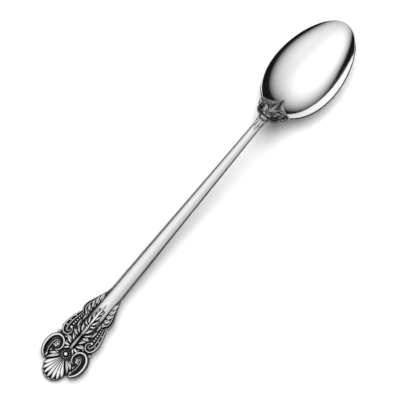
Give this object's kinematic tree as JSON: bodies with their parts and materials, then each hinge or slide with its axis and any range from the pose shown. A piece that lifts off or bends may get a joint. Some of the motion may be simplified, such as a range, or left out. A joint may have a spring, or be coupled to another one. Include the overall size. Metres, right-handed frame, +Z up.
{
  "type": "baby feeding spoon",
  "caption": "Long-handled baby feeding spoon with a small egg-shaped bowl, a slim tapering stem and a cast scroll-and-leaf terminal, for feeding purees.",
  "frame": {"origin": "on the table, under the middle of the spoon's length and width", "axes": "+X from the handle tip to the bowl tip, +Y to the spoon's left, +Z up, out of the bowl"},
  "size_m": [0.1461, 0.0234, 0.0141],
  "materials": {
    "polished_silver": "polished",
    "antiqued_silver": "polished high points over darkened recesses"
  },
  "bodies": {
    "root": {"bowl": "polished_silver", "bowl_drop": "polished_silver", "stem": "polished_silver", "shoulder": "antiqued_silver", "shoulder_leaf": "antiqued_silver", "shoulder_scroll_left": "antiqued_silver", "shoulder_scroll_right": "antiqued_silver", "neck_husk": "antiqued_silver", "terminal_plate": "antiqued_silver", "tip_shell": "antiqued_silver", "shell_boss": "antiqued_silver", "acanthus_leaf": "antiqued_silver", "lower_scroll_left": "antiqued_silver", "lower_scroll_right": "antiqued_silver", "rosette_left": "antiqued_silver", "rosette_right": "antiqued_silver", "upper_scroll_left": "antiqued_silver", "upper_scroll_right": "antiqued_silver", "bead_row_left": "antiqued_silver", "bead_row_right": "antiqued_silver", "side_leaf_left": "antiqued_silver", "side_leaf_right": "antiqued_silver"}
  },
  "joints": []
}
